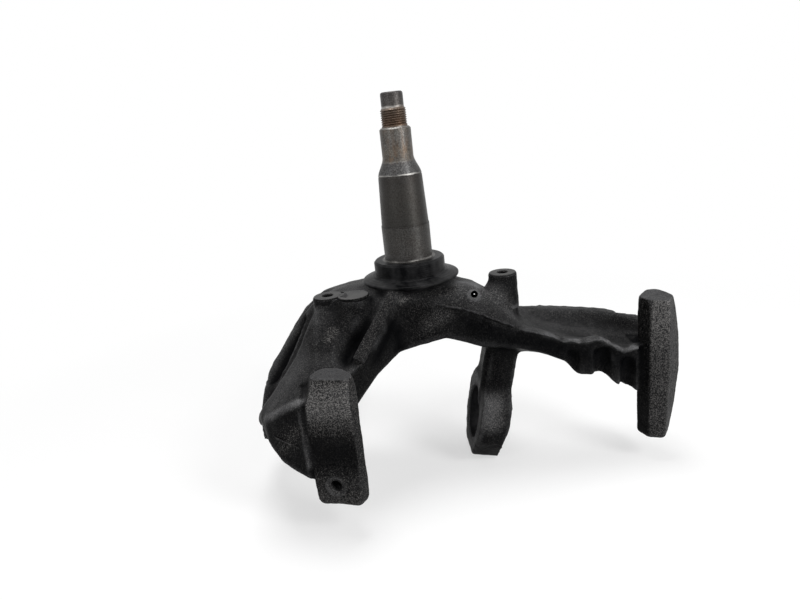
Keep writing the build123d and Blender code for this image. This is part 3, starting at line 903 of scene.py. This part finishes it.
def turned_paint(name, dark, light):
    """Paint over turned or faced metal: smooth, mottled between two colours, with faint rings from the tool.

    The rings are a sine of radius plus height. The mottle runs a little longer up the piece than round it.
    """
    made, tree, shader = material(name, 0.0, 0.34, 0.04)
    where = node(tree, "ShaderNodeTexCoord").outputs["Object"]
    height = node(tree, "ShaderNodeSeparateXYZ", inputs={0: where}).outputs[2]
    level = stretched(tree, where, (1, 1, 0))
    radius = node(tree, "ShaderNodeVectorMath", operation="LENGTH", inputs={0: level}).outputs["Value"]
    rings = maths(tree, "SINE", blended(tree, radius, 4200.0, height, 4200.0))
    haze = noise(tree, where, 330.0, 4.0, 0.62)
    band = noise(tree, stretched(tree, where, (62, 62, 12)), 1.0, 3.0)
    colour = ramp(tree, blended(tree, band, 0.75, haze, 0.25), [(0.38, dark), (0.62, light)])
    roughness = maths(tree, "ADD", 0.26, maths(tree, "MULTIPLY", haze, 0.22))
    dress(tree, shader, colour, roughness, blended(tree, rings, 0.22, haze, 0.5), 0.35, 0.0003)
    return made


# The spindle's colour up its length, from 0 at the shoulder to 1 at the pilot's end
STEEL_COLOURS = (
    # Inner seat, and the tide line that ends it
    (0.0, (0.048, 0.046, 0.044)), (0.208, (0.037, 0.036, 0.034)), (0.213, (0.014, 0.013, 0.012)),
    (0.218, (0.016, 0.015, 0.014)),
    # Barrel
    (0.228, (0.027, 0.026, 0.024)), (0.40, (0.032, 0.0305, 0.028)), (0.522, (0.030, 0.028, 0.027)),
    # Throat
    (0.527, (0.050, 0.050, 0.051)), (0.596, (0.066, 0.065, 0.065)), (0.604, (0.098, 0.090, 0.080)),
    # Outer seat
    (0.66, (0.100, 0.088, 0.074)), (0.70, (0.096, 0.091, 0.085)), (0.795, (0.092, 0.086, 0.078)),
    # Thread and pilot
    (0.808, (0.120, 0.074, 0.047)), (0.905, (0.128, 0.096, 0.073)), (0.922, (0.060, 0.055, 0.051)),
    (1.0, (0.050, 0.047, 0.046)),
)
# How worn it is up its length, where rust has settled, and where painted highlights lie on its edges
STEEL_WEAR = ((0.21, 0.10), (0.22, 0.03), (0.51, 0.04), (0.53, 0.34), (0.60, 0.22), (0.80, 0.34), (0.81, 0.15),
              (0.95, 0.14))
STEEL_RUST = ((0.585, 0.0), (0.62, 1.0), (0.68, 0.8), (0.76, 0.2), (0.78, 0.5), (0.795, 0.5), (0.81, 0.0))
STEEL_EDGE_HIGHLIGHTS = (
    (0.0, 0.0), (0.004, 0.5), (0.009, 0.5), (0.016, 0.0),
    (0.5215, 0.0), (0.5235, 0.9), (0.5270, 0.9), (0.529, 0.0),
    (0.595, 0.0), (0.598, 0.32), (0.601, 0.32), (0.605, 0.0),
    (0.789, 0.0), (0.793, 0.6), (0.797, 0.6), (0.801, 0.0),
    (0.905, 0.0), (0.910, 0.7), (0.917, 0.7), (0.922, 0.0),
)


def bare_steel():
    """Aged bare steel: ground seats, a stained barrel with a tide line, rust in the thread, and painted highlights
    on its edges.
    """
    made, tree, shader = material("bare_steel", 0.85, 0.4, 0.5)
    where = node(tree, "ShaderNodeTexCoord").outputs["Object"]
    height = node(tree, "ShaderNodeSeparateXYZ", inputs={0: where}).outputs[2]
    haze = noise(tree, where, 95.0, 6.0, 0.65)
    spots = noise(tree, where, 1250.0, 2.0, 0.6)
    wobble = maths(tree, "MULTIPLY", maths(tree, "SUBTRACT", haze, 0.5), 0.0022)
    z = maths(tree, "DIVIDE", maths(tree, "ADD", height, wobble), PILOT_TOP * MM)
    colour = ramp(tree, z, STEEL_COLOURS)
    stain = maths(tree, "MULTIPLY", ramp(tree, haze, [(0.42, 0.0), (0.66, 1.0)]), 0.45)
    colour = mixed(tree, stain, colour, (0.026, 0.022, 0.019, 1))
    dark_fleck = maths(tree, "MULTIPLY", ramp(tree, spots, [(0.50, 0.0), (0.62, 1.0)]), 0.50)
    colour = mixed(tree, dark_fleck, colour, (0.012, 0.010, 0.009, 1))
    fleck = ramp(tree, spots, [(0.36, 1.0), (0.47, 0.0)])
    light_fleck = maths(tree, "MULTIPLY", ramp(tree, z, STEEL_WEAR), fleck)
    colour = mixed(tree, light_fleck, colour, (0.24, 0.235, 0.225, 1))
    streak = noise(tree, stretched(tree, where, (420, 420, 105)), 1.0, 4.0, 0.65)
    rust = maths(tree, "MULTIPLY", ramp(tree, z, STEEL_RUST), ramp(tree, streak, [(0.47, 0.0), (0.58, 1.0)]))
    colour = mixed(tree, maths(tree, "MULTIPLY", rust, 0.55), colour, (0.105, 0.066, 0.040, 1))
    patch = ramp(tree, noise(tree, where, 55.0, 3.0), [(0.46, 0.04), (0.62, 0.85)])
    # Painted highlights: light rings at the edges, patchy round the spindle.
    edge_highlight = maths(tree, "MULTIPLY", ramp(tree, z, STEEL_EDGE_HIGHLIGHTS), patch)
    colour = mixed(tree, edge_highlight, colour, (0.42, 0.41, 0.39, 1))
    roughness = maths(tree, "ADD", 0.30, maths(tree, "MULTIPLY", haze, 0.30))
    lines = noise(tree, stretched(tree, where, (60, 60, 2400)), 1.0, 2.0)
    dress(tree, shader, colour, roughness, blended(tree, lines, 0.5, spots, 0.5), 0.7, 0.00022)
    return made


# Strokes of dust and worn grain, and of painted shade, painted shadows and painted highlights: from, to, reach in
# mm, pale film, bright grain
STROKES = (
    # The short arm: its outer edge lighter, then painted shade in the recess on its front
    ((-84, 28, -38), (-90, 24, -46), 7, 0.30, 0.16),
    ((-90, -1, -44), (-118, -11, -82), 5, 0.30, 0.16),
    ((-83, -6, -38), (-96, -11, -60), 5, 0.0, 0.02),
    ((-96, -11, -60), (-113, -18, -81), 8, 0.0, 0.0),
    # The hub's front edge beside it, and the hollow's wall under it
    ((-53, -39, -30), (-66, -54, -42), 15, 0.03, 0.08),
    ((-58, -45, -35), (-62, -50, -39), 5, 0.02, 0.45),
    ((-84, -56, -52), (-101, -68, -71), 17, 0.33, 0.14),
    # Painted shade in the valley and on the floor on both sides of the narrow land, and the land lighter
    ((-30, -32, -20), (-42, -40, -40), 7, 0.0, 0.02),
    ((-40, -40, -38), (-52, -56, -54), 9, 0.0, 0.02),
    ((-19, -32, -18), (-42, -61, -54), 4.5, 0.22, 0.20),
    ((-18, -42, -36), (-30, -53, -56), 10, 0.0, 0.0),
    ((-14, -39, -44), (-14, -39, -60), 10, 0.0, 0.0),
    # The hub: a painted shadow under the flange, a light patch and a line of painted glints, and painted shade on
    # its front with a lighter patch
    ((-24, -27, -16), (27, -29, -21), 6, 0.0, 0.16),
    ((-15, -32, -19), (-8, -33, -21), 5, 0.14, 0.40),
    ((-15, -35, -25), (-4, -34, -21), 2.5, 0.05, 1.0),
    ((8, -38, -36), (8, -38, -50), 24, 0.0, 0.09),
    ((8, -36, -42), (20, -36, -36), 9, 0.08, 0.24),
    # Painted shade on the web, the top of the long arm's root lighter, painted shadows under the flange, and the
    # foot of the bosses
    ((36, -38, -45), (74, -38, -63), 13, 0.0, 0.02),
    ((34, -22, -22), (58, -20, -31), 15, 0.32, 0.22),
    ((61, -24, -34), (68, -25, -42), 10, 0.28, 0.20),
    ((8, -31, -20), (28, -26, -19), 6, 0.0, 0.10),
    ((-25, -27, -16), (-20, -31, -20), 4.5, 0.0, 0.0),
    ((-42, -42, -24), (-30, -38, -26), 8, 0.0, 0.06),
    ((33, -15, -18), (46, -21, -21), 6, 0.95, 0.02),
    # A painted highlight along the rib of the short arm, the long arm's lip lighter, and painted shade on its
    # underside
    ((-84, -9.5, -44.5), (-107, -21, -79), 1.6, 0.60, 0.30),
    ((90, -39, -58), (154, -40, -75), 5, 0.42, 0.12),
    ((84, -38, -66), (152, -36, -90), 12, 0.0, 0.02),
    # Painted highlights on the wedge's ridge and the left bar's outer edge, and the wedge under them
    ((-109, -72, -82.5), (-102, -79.5, -76.5), 4, 0.85, 0.25),
    ((-102, -79.5, -76.5), (-78, -86.5, -64.5), 4, 0.85, 0.25),
    ((-78, -88, -70), (-81.5, -88, -112), 2.6, 0.30, 0.16),
    ((-86, -87, -86), (-98, -83, -98), 10, 0.02, 0.26),
    # The kingpin lug: painted light on its front, a painted shadow on its stem under the arm, and darker at its
    # foot
    ((49.5, -30, -111), (48, -32, -126), 14, 0.46, 0.42),
    ((54, -20, -74), (50, -20, -98), 17, 0.0, 0.06),
    ((38, -30, -146), (56, -30, -146), 12, 0.0, 0.08),
)


# Film and bright grain of the bars, each by height in mm: dust and wear, with painted shading, lighter towards the
# top and, on the left bar, darkest in its middle
BAR_NAMES = ("left_bar", "right_bar")
BAR_DUST_AND_SHADING = {
    "left_bar": ((-142, 0.11), (-128, 0.07), (-112, 0.0), (-98, 0.0), (-88, 0.01), (-80, 0.11), (-72, 0.34),
                 (-58, 0.34), (-52, 0.04)),
    "right_bar": ((-148, 0.12), (-110, 0.12), (-80, 0.14), (-55, 0.28), (-40, 0.30)),
}
BAR_GRAIN_AND_SHADING = {
    "left_bar": ((-142, 0.36), (-128, 0.26), (-112, 0.06), (-100, 0.03), (-91, 0.08), (-83, 0.34), (-70, 0.95),
                 (-54, 0.95), (-51, 0.4)),
    "right_bar": ((-148, 0.36), (-110, 0.36), (-80, 0.43), (-55, 0.84), (-40, 0.90)),
}


def by_height(z, table):
    """Values read off a table of (height, value) along straight lines."""
    heights, values = np.array(table, float).T
    return np.interp(z, heights, values)


def bar_masks(name, co, normal):
    """Film and grain of a bar: by height, with painted shade and light on its sides, lighter at its top, and a
    ring round the pin hole.
    """
    dust = by_height(co[:, 2], BAR_DUST_AND_SHADING[name])
    grain = by_height(co[:, 2], BAR_GRAIN_AND_SHADING[name])
    facing = normal[:, 0]
    if name == "left_bar":
        # On the left bar: a set tone on the inner side, painted shade on the outer side, and a pale ring round the
        # pin hole.
        side = np.clip(facing * 1.6 - 0.5, 0, 1)
        shaded = np.clip(-facing * 2 - 0.9, 0, 1)
        line = np.array(pin_line)
        off = co - np.array(PIN_HOLE)
        away = np.linalg.norm(off - (off @ line)[:, None] * line, axis=1)
        ring = np.clip(1 - np.abs(away - 6.6) / 1.1, 0, 1)
        dust = (dust + side * (0.05 - dust) + 0.35 * ring) * (1 - shaded)
        grain = (grain + side * (0.20 - grain)) * (1 - 0.9 * shaded)
    else:
        # On the right bar: painted light on the outer side, painted shade on the inner side.
        side = np.clip(facing * 2 - 0.6, 0, 1)
        inner = np.clip(-facing * 2 - 0.8, 0, 1)
        dust = dust + side * (0.24 - dust) - inner * dust
        grain = grain + side * (0.25 - grain) - 0.85 * inner * grain
    # Faces that look up are lighter: dust, and painted light from above.
    top = np.clip(normal[:, 2] * 3 - 1.6, 0, 1)
    return dust + top * (0.44 - dust), grain + top * (0.10 - grain)


def skin_masks(name, co, normal):
    """Film and grain of the casting and its small pieces: more on what faces up, as dust and painted light from
    above, then the strokes over it.
    """
    # What faces up is lighter: dust, and painted light from above.
    up = np.clip(normal[:, 2], 0, 1)
    dust = 0.02 + 0.15 * up ** 1.3
    grain = 0.06 + 0.06 * up
    if name in ("plate_boss_0", "plate_pad"):
        dust = 0.25 * dust
    if name == "land_rib":
        return 0.5 * dust, grain + 0.05
    for start, end, reach, film, worn in STROKES:
        weight = near_line(co, start, end, reach)
        dust = dust + weight * (film - dust)
        grain = grain + weight * (worn - grain)
    return dust, grain


def paint_dust_and_light(piece):
    """Writes two masks from 0 to 1 on a painted piece: a pale film for dust and painted light and shade, and
    bright grain for wear and painted glints.

    Hollows keep little of either, which paints shade into them: a hollow is where the mean of the neighbours,
    taken over many passes, lies outside the skin. Edges are lighter, except on the long arm's underside.
    """
    mesh = piece.data
    co = read(mesh.vertices, "co") / MM
    normal = read(mesh.vertex_normals, "vector")
    a, b, count = edge_sums(mesh)
    flat = co
    for step in range(8):
        flat = neighbour_mean(flat, a, b, count)
    hollow = ((flat - co) * normal).sum(1)
    masks = bar_masks if piece.name in BAR_NAMES else skin_masks
    dust, grain = masks(piece.name, co, normal)
    # Hollows are darkened: painted shade.
    hollow_shading = np.clip(1 - hollow / 0.7, 0.08, 1)
    underside = near_line(co, (84, -37, -72), (152, -35, -94), 16)
    edge = np.clip(-hollow - 0.20, 0, 1) * (1 - underside)
    for name, mask in (("dust", dust * hollow_shading + 0.45 * edge), ("grain", grain * hollow_shading)):
        layer = mesh.attributes.new(name, "FLOAT", "POINT")
        layer.data.foreach_set("value", np.clip(mask, 0, 1).astype(np.float32))


def machined_faces(piece):
    """Gives the second material to the bored faces, and the third to the tops of the bosses and the pad."""
    mesh = piece.data
    middle = read(mesh.polygons, "center") / MM
    facing = read(mesh.polygons, "normal")
    faced = (np.abs(middle[:, 2] - PLATE_FACE) < 0.3) & (facing[:, 2] > 0.95) & piece.name.startswith("plate_")
    line = np.array(kingpin)
    cut = np.zeros(len(middle), bool)
    for centre, thickness in ((upper_boss, UPPER_THICKNESS), (lower_boss, LOWER_THICKNESS)):
        off = middle - np.array(centre)
        along = off @ line
        away = np.linalg.norm(off - along[:, None] * line, axis=1)
        cut |= (away < KINGPIN_R + 0.2) & (np.abs(along) < thickness / 2 + 3)
    mesh.polygons.foreach_set("material_index", (cut + 2 * faced).astype(np.int32))


# Assembly

spindle = make_spindle()
collar = make_collar()
casting = make_casting()
painted = (casting, *make_bars(), *make_bosses())
skin = sand_skin_group()
black = cast_paint("cast_paint", skin, 1.0)
coarse_black = cast_paint("bar_paint", skin, 1.15)
smooth_black = turned_paint("turned_paint", (0.0010, 0.0011, 0.0015), (0.025, 0.0248, 0.0255))
faced_black = turned_paint("faced_paint", (0.024, 0.024, 0.0245), (0.050, 0.049, 0.048))
for piece in painted:
    piece.data.materials.clear()
    for paint in (coarse_black if piece.name in BAR_NAMES else black, smooth_black, faced_black):
        piece.data.materials.append(paint)
    paint_dust_and_light(piece)
    machined_faces(piece)
collar.data.materials.append(smooth_black)
spindle.data.materials.append(bare_steel())
for piece in (spindle, collar, *painted):
    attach(piece, "root")
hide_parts("knuckle")


# Floor, light and camera

def make_floor():
    """A floor under the casting. The camera sees it white, with half of its shading near the object.

    Further out the white takes over, so that no horizon shows. The light that it throws back is a mid grey's.
    """
    low = cad_low.z / MM
    far = 4000
    corners = np.array([(-far, -far, low), (far, -far, low), (far, far, low), (-far, far, low)], float)
    floor = put_mesh("floor", corners, [np.array([[0, 1, 2, 3]])])
    made = bpy.data.materials.new("pale_floor")
    made.use_nodes = True
    tree = made.node_tree
    grey = tree.nodes["Principled BSDF"]
    grey.inputs["Base Color"].default_value = (0.42, 0.42, 0.42, 1)
    grey.inputs["Roughness"].default_value = 0.9
    grey.inputs["Specular IOR Level"].default_value = 0.0
    pale = node(tree, "ShaderNodeBsdfDiffuse", inputs={"Color": (0.92, 0.92, 0.92, 1)})
    white = node(tree, "ShaderNodeEmission", inputs={"Color": (1, 1, 1, 1), "Strength": 1.0})
    where = node(tree, "ShaderNodeTexCoord").outputs["Object"]
    away = node(tree, "ShaderNodeVectorMath", operation="LENGTH", inputs={0: where}).outputs["Value"]
    plain = node(tree, "ShaderNodeMapRange", inputs={0: away, 1: 0.22, 2: 0.60, 3: 0.55, 4: 1.0}).outputs[0]
    shown = node(tree, "ShaderNodeMixShader", inputs={0: plain, 1: pale.outputs[0], 2: white.outputs[0]})
    path = node(tree, "ShaderNodeLightPath")
    seen = maths(tree, "MAXIMUM", path.outputs["Is Camera Ray"], path.outputs["Is Glossy Ray"])
    mix = node(tree, "ShaderNodeMixShader", inputs={0: seen, 1: grey.outputs[0], 2: shown.outputs[0]})
    tree.links.new(mix.outputs[0], tree.nodes["Material Output"].inputs["Surface"])
    floor.data.materials.append(made)


def light_world():
    """A white world to the camera and to reflections, and a plain dimmer one for light."""
    world = bpy.data.worlds.new("white_room")
    bpy.context.scene.world = world
    world.use_nodes = True
    tree = world.node_tree
    plain = tree.nodes["Background"]
    plain.inputs["Color"].default_value = (1, 1, 1, 1)
    plain.inputs["Strength"].default_value = 0.32
    path = node(tree, "ShaderNodeLightPath")
    white = node(tree, "ShaderNodeBackground", inputs={"Color": (1, 1, 1, 1), "Strength": 1.0})
    seen = maths(tree, "MAXIMUM", path.outputs["Is Camera Ray"],
                 maths(tree, "MAXIMUM", path.outputs["Is Glossy Ray"], path.outputs["Is Transmission Ray"]))
    mix = node(tree, "ShaderNodeMixShader", inputs={0: seen, 1: plain.outputs[0], 2: white.outputs[0]})
    tree.links.new(mix.outputs[0], tree.nodes["World Output"].inputs["Surface"])


def lamp(name, place, aim, size, watts):
    """A square soft lamp at a place, turned to its aim, in metres and watts."""
    data = bpy.data.lights.new(name, "AREA")
    data.size = size
    data.energy = watts
    made = bpy.data.objects.new(name, data)
    made.location = place
    made.rotation_euler = (Vector(aim) - Vector(place)).to_track_quat("-Z", "Y").to_euler()
    bpy.context.scene.collection.objects.link(made)


def make_camera():
    """The camera at the photo's viewpoint, from the directions of its picture's axes."""
    data = bpy.data.cameras.new("camera")
    data.lens = 27.9
    data.sensor_width = 36.0
    data.clip_start = 0.01
    data.clip_end = 100
    made = bpy.data.objects.new("camera", data)
    right = Vector((0.9935, -0.0336, -0.1092))
    up = Vector((0.1143, 0.2924, 0.9494))
    back = right.cross(up).normalized()
    up = back.cross(right).normalized()
    right.normalize()
    place = Matrix((right, up, back)).transposed().to_4x4()
    place.translation = Vector((-10.1, -446.8, 105.2)) * MM
    made.matrix_world = place
    bpy.context.scene.collection.objects.link(made)
    bpy.context.scene.camera = made


make_floor()
light_world()
lamp("key", (0.85, -0.80, 0.80), (0.03, 0, -0.05), 0.4, 8)
lamp("side", (0.95, -0.85, 0.12), (0, 0, 0.02), 0.35, 6)
lamp("fill", (-0.9, -0.8, 0.5), (0, 0, -0.05), 0.6, 3)
lamp("top", (-0.05, 0.15, 1.2), (0.02, 0, -0.05), 0.6, 11)
make_camera()
bpy.context.scene.view_settings.view_transform = "Standard"
